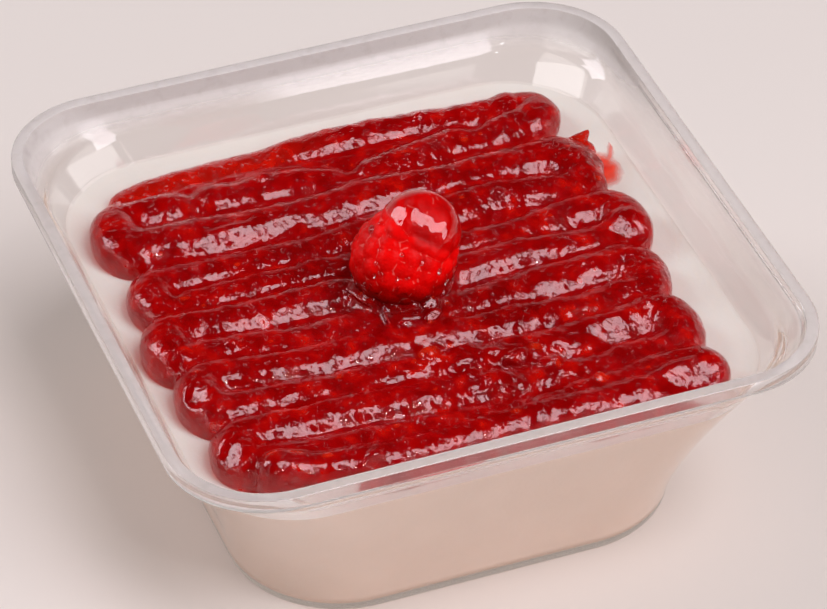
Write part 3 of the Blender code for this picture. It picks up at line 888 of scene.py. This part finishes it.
def build_jam(mat):
    run = rope_stations()
    base = LEVEL - 0.45
    bm = bmesh.new()
    sweep(bm, run, base)
    # where neighbouring passes have flowed together at their feet
    for i in range(len(PASSES) - 1):
        side_l = LEFT_TURNS[min(4, max(0, (i - 1) // 2))] + 9
        side_r = RIGHT_TURNS[min(5, i // 2)] - 9
        if i == 0:
            side_l = -31
        xs = np.linspace(side_l, side_r, 50)
        ys = 0.5 * (CURVES[i](xs) + CURVES[i + 1](xs))
        gap = np.abs(CURVES[i](xs) - CURVES[i + 1](xs))
        sweep(bm, [(float(x), float(y), float(max(1.4, g * 0.26)), 3.5 + 0.05 * g, 0.0)
                   for x, y, g in zip(xs, ys, gap)], base, foot=1.0)
    xs = np.linspace(17, 33, 22)
    ys = 0.5 * (CURVES[10](xs) + CURVES[11](xs)) - 0.3
    sweep(bm, [(float(x), float(y), 2.6, 4.0 + 2.0 * float(smoothstep(17, 27, x)), 0.0)
               for x, y in zip(xs, ys)], base, foot=1.0)
    z = LEVEL
    # the torn right end of the third and fourth passes
    cone(bm, (37.2, 21.6, z + 1.6), (42.65, 23.75, z + 5.1), 3.6, 0.25)
    blob(bm, (39.6, 20.6, z + 2.4), (3.6, 2.6, 2.7), 25)
    blob(bm, (40.3, 17.6, z + 2.2), (2.3, 3.4, 2.6), 10)
    blob(bm, (38.6, 12.2, z + 2.4), (2.6, 2.6, 2.9))
    blob(bm, (40.1, 9.6, z + 1.2), (1.5, 1.2, 1.3))
    # fruit pieces and folds
    for x, y, h, a, b, c, t in (
            (-5.3, -23.6, 5.4, 2.7, 2.0, 1.6, 10), (8.2, -28.9, 5.0, 2.4, 1.5, 1.5, 20),
            (18.4, -37.8, 4.6, 1.7, 1.3, 1.6, 0), (4.0, -33.8, 5.2, 3.2, 1.3, 1.4, -25),
            (-1.5, -31.0, 5.0, 2.8, 1.0, 1.5, 35), (12.6, -31.6, 5.2, 2.2, 1.6, 1.1, 0),
            (-14.0, 31.0, 4.9, 1.6, 1.2, 1.1, 0),
            (21.5, 12.8, 5.1, 1.5, 1.1, 1.1, 0), (-33.5, -9.2, 5.4, 1.4, 1.0, 1.0, 0),
            (27.0, -10.1, 5.5, 1.2, 1.0, 0.8, 0), (-22.0, -43.4, 5.6, 1.6, 1.0, 1.0, 0),
            (-12.5, -37.6, 5.0, 1.5, 1.0, 1.2, 40), (17.0, 38.2, 4.4, 1.5, 1.1, 1.2, 0),
            (33.0, -23.6, 5.6, 1.3, 1.1, 0.9, 0)):
        blob(bm, (x, y, z + h), (a, b, c), t)
    # juice round the foot of the berry, level with the valleys
    blob(bm, (-3.0, -6.4, z + 2.6), (9.6, 9.0, 2.6), 0, level=3)
    blob(bm, (-10.2, -7.4, z + 3.6), (2.2, 3.6, 2.0), 20)
    blob(bm, (-8.0, -13.6, z + 3.6), (3.2, 1.4, 1.8), -30)
    bx, by, _ = BERRY_BODY
    for k in range(21):           # it clings to the foot of the berry
        a = math.radians(176 + 9.5 * k)
        high = 0.25 * math.sin(2.3 * k) + 0.15 * math.sin(5.1 * k)
        blob(bm, (bx + 7.6 * math.cos(a), by + 7.6 * math.sin(a), z + 5.0 + high),
             (2.0, 1.5, 2.5), math.degrees(a) + 90)
    lens(bm, (-0.7, -12.4, z + 6.3), (0.04, -0.66, 0.76), (2.0, 1.7, 0.9))
    lens(bm, (-1.0, -14.6, z + 5.6), (0.04, -0.66, 0.76), (2.0, 1.3, 0.8), 20)
    for trail in (((-11.8, -3.9, 6.5), (-10.9, -7.0, 6.5), (-9.2, -9.8, 6.4)),
                  ((-8.2, -11.3, 6.4), (-8.5, -14.8, 6.4)),
                  ((-6.7, -14.9, 6.3), (-5.0, -15.0, 6.3))):
        for a, b in zip(trail[:-1], trail[1:]):
            steps = 7
            for k in range(steps + 1):
                f = k / steps
                blob(bm, (a[0] + (b[0] - a[0]) * f, a[1] + (b[1] - a[1]) * f,
                          z + a[2] + (b[2] - a[2]) * f), (0.45, 0.45, 0.42), 0, 0, 1)
    # a few small bits of pulp on the surface
    rng = np.random.RandomState(3)
    for _ in range(120):
        s = run[rng.randint(len(run))]
        u = rng.uniform(-0.75, 0.75)
        i = min(len(run) - 2, run.index(s))
        t = Vector((run[i + 1][0] - run[i][0], run[i + 1][1] - run[i][1])).normalized()
        x, y = s[0] - t.y * u * s[2], s[1] + t.x * u * s[2]
        r = rng.uniform(0.35, 0.8)
        top = base + s[4] + s[3] * (0.4 + 0.6 * math.sqrt(1 - u * u))
        blob(bm, (x, y, top - 0.45 * r), (r * rng.uniform(0.9, 1.6), r, r * 0.8),
             rng.uniform(0, 180), level=1)
    me = remeshed(bm, "jam_piped", 0.40, smooth=1)

    co = coords(me)
    nor = normals(me)
    q = co / MM
    idx, across, along = nearest_on_rope(run, q)
    n1, n2, n3, n4 = Noise(21), Noise(22), Noise(23), Noise(24)
    # how disturbed the line is: most around the middle of the front passes
    mess = np.exp(-(((q[:, 0] - 3.5) / 11.0) ** 2 + ((q[:, 1] + 30.0) / 7.5) ** 2))
    wet = np.exp(-(((q[:, 0] + 3.2) / 8.6) ** 2 + ((q[:, 1] + 8.4) / 8.0) ** 2) ** 2)
    lump = 0.22 * n1(q * 0.26) + 0.07 * n2(q * 0.62)
    ridge = n3(np.stack([along * 1.05, across * 0.30, idx * 0.0], 1)) \
        + 0.6 * n4(np.stack([along * 2.0, across * 0.5, q[:, 2] * 0.3], 1))
    where = 0.55 + 0.45 * n2(q * 0.17 + 40)
    fold = 1.0 - np.abs(n4(q * (0.42, 0.60, 0.5) + 11)) * 2.2
    d = lump * (0.8 + 1.6 * mess) + 0.085 * ridge * np.clip(where, 0.3, 1) * (1 - 0.5 * mess)
    d += mess * 0.55 * np.clip(fold, -0.4, 1.0) * smoothstep(34, 36, q[:, 2])
    d += 0.045 * n1(q * 1.7)
    d *= 1 - 0.85 * wet
    d *= smoothstep(LEVEL - 0.1, LEVEL + 1.5, q[:, 2])
    co += nor * (d * MM)[:, None]
    # broad places that lean to the front or to the left and shine
    for x, y, h, rx, ry, m, bend in (
            (32.4, -42.4, 37.1, 5.2, 3.0, (0.04, -0.60, 0.80), 16.0),
            (38.2, -3.2, 37.1, 4.4, 3.2, (0.04, -0.60, 0.80), 14.0),
            (27.0, -26.7, 37.0, 5.5, 2.4, (0.04, -0.62, 0.78), 14.0),
            (-23.5, 17.8, 37.0, 12.0, 1.9, (0.02, -0.64, 0.77), 60.0),
            (-42.5, -19.8, 37.7, 2.4, 2.4, (-0.54, -0.14, 0.83), 9.0),
            (-42.0, -34.8, 37.2, 2.8, 2.4, (-0.54, -0.14, 0.83), 9.0)):
        dx, dy = q[:, 0] - x, q[:, 1] - y
        share = np.exp(-((dx / rx) ** 2 + (dy / ry) ** 2) ** 2)
        share *= smoothstep(LEVEL + 1.6, LEVEL + 3.4, q[:, 2])
        plane = h - (dx * m[0] + dy * m[1]) / m[2] - (dx ** 2 + dy ** 2) / (2 * bend)
        co[:, 2] += share * ((plane + 0.6 * d) * MM - co[:, 2])
    # the berry presses into it
    bx, by, bz = BERRY_BODY
    r = BERRY_BODY_R - 0.9
    d2 = (co[:, 0] / MM - bx) ** 2 + (co[:, 1] / MM - by) ** 2
    under = bz - np.sqrt(np.clip(r * r - d2, 0, None))
    under = np.maximum(under, BERRY_FOOT + 0.2)
    hit = (d2 < r * r) & (co[:, 2] / MM > under)
    co[hit, 2] = under[hit] * MM
    near = np.hypot(q[:, 0] - bx, q[:, 1] - by) < 11.5
    co[:, 2] = np.clip(co[:, 2], base * MM, np.where(near, 40.3, 39.0) * MM)
    half = np.array([inner_half(float(h)) for h in (34, 36, 38)]).min() - 0.2
    co[:, 0] = np.clip(co[:, 0], -half * MM, half * MM)
    co[:, 1] = np.clip(co[:, 1], -half * MM, half * MM)
    set_coords(me, co)
    # the flat foot needs few faces
    faces = sum(len(p.vertices) - 2 for p in me.polygons)
    me2 = thinned(me, "jam_piped", min(1.0, 186000 / faces))
    bm = bmesh.new()
    bm.from_mesh(me2)
    for x, y, h, a, b, c, t in ((-0.7, -12.7, 7.15, 1.5, 1.25, 0.22, 0),
                                (-1.0, -15.0, 6.25, 1.65, 0.85, 0.20, 20)):
        lens(bm, (x, y, z + h), (0.04, -0.66, 0.76), (a, b, c), t, level=3)
    bm.to_mesh(me2)
    bm.free()
    me2.shade_smooth()
    q = coords(me2) / MM
    spots = [(18.7, -38.3, 1.3), (13.5, -33.0, 0.8), (3.0, -41.5, 0.9), (-33.5, -38.6, 1.4),
             (-29.0, -41.0, 1.0), (-37.5, -38.0, 1.2), (39.0, 11.0, 0.9), (-37.0, 5.0, 0.9),
             (-20.5, -23.5, 0.8), (22.0, 29.5, 0.8), (26.0, -17.0, 1.0),
             (-5.3, -23.4, 1.8), (12.0, -27.5, 1.2), (-16.0, -37.5, 0.9)]
    spots += [(*rng.uniform(-42, 40, 2), rng.uniform(0.25, 0.6)) for _ in range(45)]
    pulp = np.zeros(len(q))
    ragged = Noise(61)(q * 0.9)
    for x, y, r in spots:
        away = np.hypot(q[:, 0] - x, (q[:, 1] - y) * 1.3) / r
        pulp = np.maximum(pulp, np.clip(1.25 - away + 0.6 * ragged, 0, 1))
    pulp *= 0.6
    # painted glow: the thin left part of the back pass and the torn flap are made lighter and more orange, standing in
    # for light shining through the thin jam
    behind = smoothstep(34.0, 36.5, q[:, 1]) * (1 - smoothstep(-12, 4, q[:, 0]))
    pulp = np.maximum(pulp, 0.20 * behind)
    torn = np.hypot((q[:, 0] - 41.6) / 3.4, (q[:, 1] - 22.6) / 2.6)   # thin there
    pulp = np.maximum(pulp, 0.38 * np.clip(1.5 - torn + 0.4 * ragged, 0, 1))
    at = me2.attributes.new("pulp", "FLOAT", "POINT")
    at.data.foreach_set("value", pulp.astype(np.float32))
    ob = new_object("jam_piped", me2, mat)
    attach(ob, "root")
    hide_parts("jam")
    print("jam faces", len(me2.polygons))
    return ob, run


def build_smear(mat):
    """A film of jam on the pudding beside the torn end, and a fine streak."""
    n = Noise(31)
    bm = bmesh.new()
    step = 0.22
    xs = np.arange(39.5, 50.0, step)
    ys = np.arange(12.5, 29.6, step)
    gx, gy = np.meshgrid(xs, ys, indexing="ij")
    q = np.stack([gx.ravel(), gy.ravel(), np.zeros(gx.size)], 1)
    out = np.hypot((q[:, 0] - 42.6) / 4.4, (q[:, 1] - 18.9) / 5.6)
    edge = 1.0 + 0.12 * n(q * 0.45) + 0.04 * n(q * 1.3 + 5)
    film = np.clip((edge - out) / 0.85, 0, 1)
    a, b = np.array((45.6, 21.2)), np.array((48.9, 28.0))
    t = np.clip(((q[:, :2] - a) @ (b - a)) / ((b - a) @ (b - a)), 0, 1)
    away = np.hypot(*(q[:, :2] - a - t[:, None] * (b - a)).T)
    wide = 0.62 * (1 - 0.3 * t) * (1 + 0.5 * n(q * 0.9 + 9))
    streak = np.clip(1.3 - away / np.maximum(wide, 0.34), 0, 1)
    film *= 0.82 + 0.22 * np.clip(0.5 + n(q * 0.55 + 17), 0, 1)
    film = np.clip(np.maximum(film, (0.36 - 0.14 * t) * streak), 0, 1)
    high = 0.03 + 0.42 * film ** 1.2 + 0.05 * n(q * 1.1 + 3) * film
    high = np.maximum(high, 0.20 * smoothstep(0.0, 0.5, streak))
    keep = (film > 0.004).reshape(gx.shape)
    top, low = {}, {}
    for i in range(len(xs) - 1):
        for j in range(len(ys) - 1):
            four = ((i, j), (i + 1, j), (i + 1, j + 1), (i, j + 1))
            if not all(keep[c] for c in four):
                continue
            for c in four:
                if c not in top:
                    k = c[0] * len(ys) + c[1]
                    top[c] = bm.verts.new(Vector((xs[c[0]], ys[c[1]], LEVEL + 0.03 + high[k])) * MM)
                    low[c] = bm.verts.new(Vector((xs[c[0]], ys[c[1]], LEVEL - 0.25)) * MM)
            bm.faces.new([top[c] for c in four])
            bm.faces.new([low[c] for c in reversed(four)])
    for e in [e for e in bm.edges if len(e.link_faces) == 1]:
        pair = [next((c for c in top if top[c] is v), None) for v in e.verts]
        if None in pair:
            continue
        bm.faces.new((top[pair[0]], top[pair[1]], low[pair[1]], low[pair[0]]))
    me = mesh_from(bm, "jam_smear")
    co = coords(me) / MM
    i = np.clip(np.rint((co[:, 0] - xs[0]) / step).astype(int), 0, len(xs) - 1)
    j = np.clip(np.rint((co[:, 1] - ys[0]) / step).astype(int), 0, len(ys) - 1)
    at = me.attributes.new("film", "FLOAT", "POINT")
    at.data.foreach_set("value", film.reshape(gx.shape)[i, j].astype(np.float32))
    ob = new_object("jam_smear", me, mat)
    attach(ob, "root")
    return ob


# ------------------------------------------------------------- the raspberry
def berry_reach(d):
    """Distance from the body's centre to the berry's smooth outline."""
    axis = (BERRY_DOME - BERRY_BODY)
    best = np.full(len(d), BERRY_BODY_R)
    for k in range(1, 11):
        t = k / 10
        c = np.array(axis * t)
        r = BERRY_BODY_R + (BERRY_DOME_R - BERRY_BODY_R) * t 
        b = d @ c
        disc = b * b - c @ c + r * r
        best = np.where(disc > 0, np.maximum(best, b + np.sqrt(np.clip(disc, 0, None))), best)
    return best


def drupelets():
    axis = (BERRY_DOME - BERRY_BODY).normalized()
    side = axis.cross(Vector((0, 1, 0))).normalized()
    other = axis.cross(side)
    rng = np.random.RandomState(12)
    rings = ((10, 4), (34, 9), (56, 12), (76, 14), (97, 15), (119, 14), (141, 10))
    out = []
    for k, (polar, count) in enumerate(rings):
        p = math.radians(polar)
        for i in range(count):
            a = 2 * math.pi * (i + 0.5 * (k % 2)) / count + rng.uniform(-0.09, 0.09)
            pp = p + rng.uniform(-0.05, 0.05)
            d = (axis * math.cos(pp)
                 + (side * math.cos(a) + other * math.sin(a)) * math.sin(pp))
            reach = float(berry_reach(np.array([d]))[0])
            r = rng.uniform(2.9, 3.3)
            out.append((np.array(d * (reach - r + rng.uniform(-0.05, 0.08))), r))
    return out


def build_raspberry():
    lumps = drupelets()
    bm = bmesh.new()
    bmesh.ops.create_icosphere(bm, subdivisions=7, radius=1.0)
    me = mesh_from(bm, "raspberry_fruit")
    d = coords(me)
    d /= np.linalg.norm(d, axis=1)[:, None]
    base = berry_reach(d) - 0.5
    first = base.copy()
    second = base - 5
    for c, r in lumps:
        b = d @ c
        disc = b * b - c @ c + r * r
        hit = np.where((disc > 0) & (b > 0), b + np.sqrt(np.clip(disc, 0, None)), -9)
        newer = hit > first
        second = np.where(newer, first, np.maximum(second, hit))
        first = np.where(newer, hit, first)
    gap = first - second
    # soften the creases between drupelets a little
    k = 0.35
    h = np.clip(0.5 + 0.5 * gap / k, 0, 1)
    reach = first * h + second * (1 - h) + k * h * (1 - h)
    reach = np.where(second > base - 4, reach, first)
    up = np.array((BERRY_DOME - BERRY_BODY).normalized())
    polar = np.degrees(np.arccos(np.clip(d @ up, -1, 1)))
    n = Noise(41)
    reach = reach + 0.05 * n(d * 22.0) + 0.03 * n(d * 60.0)
    p = d * reach[:, None]
    foot = BERRY_FOOT - BERRY_BODY.z
    low = p[:, 2] < foot
    p[low, 2] = foot + 0.1 * (p[low, 2] - foot)
    off = p + np.array(BERRY_BODY - BERRY_DOME)
    length = np.linalg.norm(off, axis=1)
    room = glaze_reach(off / length[:, None]) - 0.12      # the glaze lies over it
    shrink = np.where(length > room, smoothstep(-0.5, 2.0, off @ up), 0.0)
    off *= (1 + shrink * (room / length - 1))[:, None]
    p = off - np.array(BERRY_BODY - BERRY_DOME)
    set_coords(me, (p + np.array(BERRY_BODY)) * MM)
    # the crease mask, broken up by noise, places the painted highlight lines of the raspberry material
    crease = np.clip(1 - gap / 0.24, 0, 1)
    crease *= 0.15 + 0.85 * np.clip(0.35 + n(d * 10.0 + 4) * 3.0, 0, 1)
    at = me.attributes.new("crease", "FLOAT", "POINT")
    at.data.foreach_set("value", crease.astype(np.float32))
    ob = new_object("raspberry_fruit", me, raspberry_material())
    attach(ob, "root")
    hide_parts("raspberry")
    return ob


def glaze_reach(d):
    """Distance from the dome's centre to the glaze, which has a broad flat
    place at the front and a smaller one at the left."""
    n = Noise(51)
    r = BERRY_DOME_R + 0.16
    reach = r + 0.05 * n(d * 1.9 + 3)
    for m, along, flat, big, small in (
            ((0.04, -0.66, 0.76), (0.80, -0.52, -0.30), 0.885, 38.0, 7.5),
            ((-0.64, -0.14, 0.755), (0.3, -0.9, 0.0), 0.972, 14.0, 12.0)):
        m = np.array(m) / np.linalg.norm(m)
        u = np.array(along) - np.dot(along, m) * m
        u /= np.linalg.norm(u)
        v = np.cross(m, u)
        c = np.clip(d @ m, 0.05, 1)
        a = (d @ u) ** 2 / (2 * big) + (d @ v) ** 2 / (2 * small)
        f = r * (flat + 0.014 * n(d * 5.0 + 8))
        t = np.where(a > 1e-5, (-c + np.sqrt(c * c + 4 * a * f)) / (2 * np.maximum(a, 1e-5)), f / c)
        h = np.clip(0.5 + 0.5 * (t - reach) / 0.10, 0, 1)
        reach = t * (1 - h) + reach * h - 0.10 * h * (1 - h)
    return reach


def build_glaze():
    """The clear glaze that covers the berry's top like a cap, and small drops
    of it between the drupelets."""
    bm = bmesh.new()
    bmesh.ops.create_icosphere(bm, subdivisions=6, radius=1.0)
    d = np.array([v.co for v in bm.verts])
    d /= np.linalg.norm(d, axis=1)[:, None]
    up = np.array((BERRY_DOME - BERRY_BODY).normalized())
    polar = np.degrees(np.arccos(np.clip(d @ up, -1, 1)))
    n = Noise(52)
    edge = 98 + 8 * n(d * 1.6) + 4 * n(d * 4.0)
    cover = 1 - smoothstep(edge - 16, edge, polar)
    p = d * (glaze_reach(d) * (0.62 + 0.38 * cover))[:, None]
    for v, q in zip(bm.verts, p):
        v.co = (Vector(q) + BERRY_DOME) * MM
    rng = np.random.RandomState(8)
    lumps = drupelets()
    made = 0
    while made < 90:
        (a, ra), (b, rb) = lumps[rng.randint(len(lumps))], lumps[rng.randint(len(lumps))]
        if not 0.5 < np.linalg.norm(a - b) < 4.6:
            continue
        way = a + b + rng.normal(size=3) * 0.5
        way /= np.linalg.norm(way)
        if way @ up > 0.62 or way[2] < -0.75:
            continue
        at = way * (float(berry_reach(np.array([way]))[0]) - rng.uniform(0.05, 0.30))
        r = rng.uniform(0.3, 0.75)
        lens(bm, tuple(np.array(BERRY_BODY) + at), way + rng.normal(size=3) * 0.25,
             (r * rng.uniform(0.9, 1.6), r, r * 0.5), rng.uniform(0, 180))
        made += 1
    me = mesh_from(bm, "glaze_cap")
    ob = new_object("glaze_cap", me, glaze_material())
    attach(ob, "root")
    return ob


# ------------------------------------------------------------------ the stage
def area_light(name, direction, distance, size, colour, power, target=(0, 0, 0.03)):
    data = bpy.data.lights.new(name, "AREA")
    data.shape = "RECTANGLE"
    data.size, data.size_y = size
    data.color = colour
    data.energy = power
    ob = bpy.data.objects.new(name, data)
    bpy.context.scene.collection.objects.link(ob)
    d = Vector(direction).normalized()
    ob.location = Vector(target) + d * distance
    ob.rotation_euler = d.to_track_quat("Z", "Y").to_euler()
    return ob


def azel(az, el):
    """Direction at an azimuth from the front, towards +X, and an elevation."""
    a, e = math.radians(az), math.radians(el)
    return (math.sin(a) * math.cos(e), -math.cos(a) * math.cos(e), math.sin(e))


def build_stage(cup):
    bm = bmesh.new()
    bmesh.ops.create_grid(bm, x_segments=1, y_segments=1, size=4.0)
    me = mesh_from(bm, "floor")
    mat = bpy.data.materials.new("floor")
    nt, new, link = nodes_of(mat)
    p = new("ShaderNodeBsdfPrincipled")
    p.inputs["Base Color"].default_value = (0.77, 0.72, 0.672, 1)
    p.inputs["Roughness"].default_value = 0.7
    p.inputs["Specular IOR Level"].default_value = 0.2
    out = new("ShaderNodeOutputMaterial")
    link(p.outputs[0], out.inputs["Surface"])
    floor = new_object("floor", me, mat)

    world = bpy.data.worlds.new("studio")
    bpy.context.scene.world = world
    world.use_nodes = True
    wt = world.node_tree
    wt.nodes.clear()
    tc = wt.nodes.new("ShaderNodeTexCoord")
    sp = wt.nodes.new("ShaderNodeSeparateXYZ")
    wt.links.new(tc.outputs["Generated"], sp.inputs[0])

    def sky(stops, strength):
        cr = wt.nodes.new("ShaderNodeValToRGB")
        el = cr.color_ramp.elements
        el[0].position, el[0].color = stops[0][0], (*stops[0][1], 1)
        el[1].position, el[1].color = stops[-1][0], (*stops[-1][1], 1)
        for pos, col in stops[1:-1]:
            el.new(pos).color = (*col, 1)
        wt.links.new(sp.outputs["Z"], cr.inputs["Fac"])
        bg = wt.nodes.new("ShaderNodeBackground")
        bg.inputs["Strength"].default_value = strength
        wt.links.new(cr.outputs["Color"], bg.inputs["Color"])
        return bg

    def product(a, b):
        m = wt.nodes.new("ShaderNodeMath")
        m.operation = "MULTIPLY"
        wt.links.new(a, m.inputs[0])
        wt.links.new(b, m.inputs[1])
        return m.outputs[0]

    # an even room, with dark cloth overhead as far as gloss shows it
    room = sky([(0.0, (0.95, 0.89, 0.86)), (0.45, (0.56, 0.52, 0.50)),
                (0.85, (0.30, 0.28, 0.27))], 0.55)
    gloss = sky([(0.0, (0.95, 0.86, 0.86)), (0.16, (0.55, 0.47, 0.49)),
                 (0.42, (0.02, 0.02, 0.02))], 0.80)
    # pale low down at the back only
    back = wt.nodes.new("ShaderNodeMapRange")
    back.inputs["From Min"].default_value = -0.1
    back.inputs["From Max"].default_value = 0.45
    back.inputs["To Min"].default_value = 0.22
    wt.links.new(sp.outputs["Y"], back.inputs["Value"])
    dim = wt.nodes.new("ShaderNodeMixShader")
    dark = wt.nodes.new("ShaderNodeBackground")
    dark.inputs["Color"].default_value = (0.02, 0.02, 0.02, 1)
    wt.links.new(back.outputs[0], dim.inputs[0])
    wt.links.new(dark.outputs[0], dim.inputs[1])
    wt.links.new(gloss.outputs[0], dim.inputs[2])
    path = wt.nodes.new("ShaderNodeLightPath")
    clear = wt.nodes.new("ShaderNodeMapRange")
    clear.inputs["From Min"].default_value = 0.4
    clear.inputs["From Max"].default_value = 0.6
    clear.inputs["To Min"].default_value = 1.0
    clear.inputs["To Max"].default_value = 0.0
    wt.links.new(path.outputs["Transmission Depth"], clear.inputs["Value"])
    mix = wt.nodes.new("ShaderNodeMixShader")
    mirrored = product(path.outputs["Is Glossy Ray"], path.outputs["Is Reflection Ray"])
    wt.links.new(product(mirrored, clear.outputs[0]), mix.inputs[0])
    wt.links.new(room.outputs[0], mix.inputs[1])
    wt.links.new(dim.outputs[0], mix.inputs[2])
    wo = wt.nodes.new("ShaderNodeOutputWorld")
    wt.links.new(mix.outputs[0], wo.inputs["Surface"])

    def watts(radiance, size):
        return radiance * math.pi * size[0] * size[1]

    key = (0.58, 1.22)
    area_light("key", azel(34, 52), 1.3, key, (0.94, 0.89, 0.95), watts(6.9, key))
    left = (0.52, 0.60)
    area_light("key_left", azel(-126, 35), 1.3, left, (0.94, 0.90, 0.96), watts(7.0, left))
    spark = (0.05, 0.05)
    area_light("spark", azel(6, 47), 1.3, spark, (1.0, 1.0, 1.0), watts(75, spark))
    # pale cards that only the clear cup mirrors
    cup_only = bpy.data.collections.new("cup_only")
    cup_only.objects.link(cup)
    for name, way, size, glow, at in (
            ("card_left", azel(57, 16), (1.30, 0.42), 2.4, (-0.040, 0.048, 0.037)),
            ("card_right", azel(-76, 28), (1.15, 0.55), 3.2, (0.046, 0.044, 0.037)),
            ("card_back", azel(17.5, 15.5), (0.034, 0.055), 1.6, (0.021, 0.051, 0.038))):
        ob = area_light(name, way, 1.3, size, (1.0, 0.98, 0.97), watts(glow, size), at)
        ob.light_linking.receiver_collection = cup_only


def build_camera():
    cam = bpy.data.cameras.new("camera")
    ob = bpy.data.objects.new("camera", cam)
    bpy.context.scene.collection.objects.link(ob)
    right = Vector((0.93317, -0.35943, 0.00259))
    up = Vector((0.22418, 0.58763, 0.77746))
    back = -Vector((0.28096, 0.72492, -0.62893))
    at = Vector((-0.216979, -0.563265, 0.517269))
    ob.matrix_world = Matrix(((right.x, up.x, back.x, at.x),
                              (right.y, up.y, back.y, at.y),
                              (right.z, up.z, back.z, at.z),
                              (0, 0, 0, 1)))
    cam.sensor_fit = "HORIZONTAL"
    cam.sensor_width = 36.0
    cam.lens = 203.6
    cam.clip_start = 0.01
    cam.clip_end = 50
    bpy.context.scene.camera = ob


def main():
    build_camera()
    cup = build_cup()
    build_stage(cup)
    build_pudding()
    mat = jam_material()
    build_jam(mat)
    build_smear(film_material())
    build_raspberry()
    build_glaze()
    scene = bpy.context.scene
    scene.view_settings.view_transform = "Standard"
    scene.view_settings.look = "None"
    scene.cycles.caustics_refractive = False
    scene.cycles.caustics_reflective = False
    scene.cycles.max_bounces = 24
    scene.cycles.glossy_bounces = 16
    scene.cycles.transmission_bounces = 24
    scene.cycles.transparent_max_bounces = 32
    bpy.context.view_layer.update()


main()
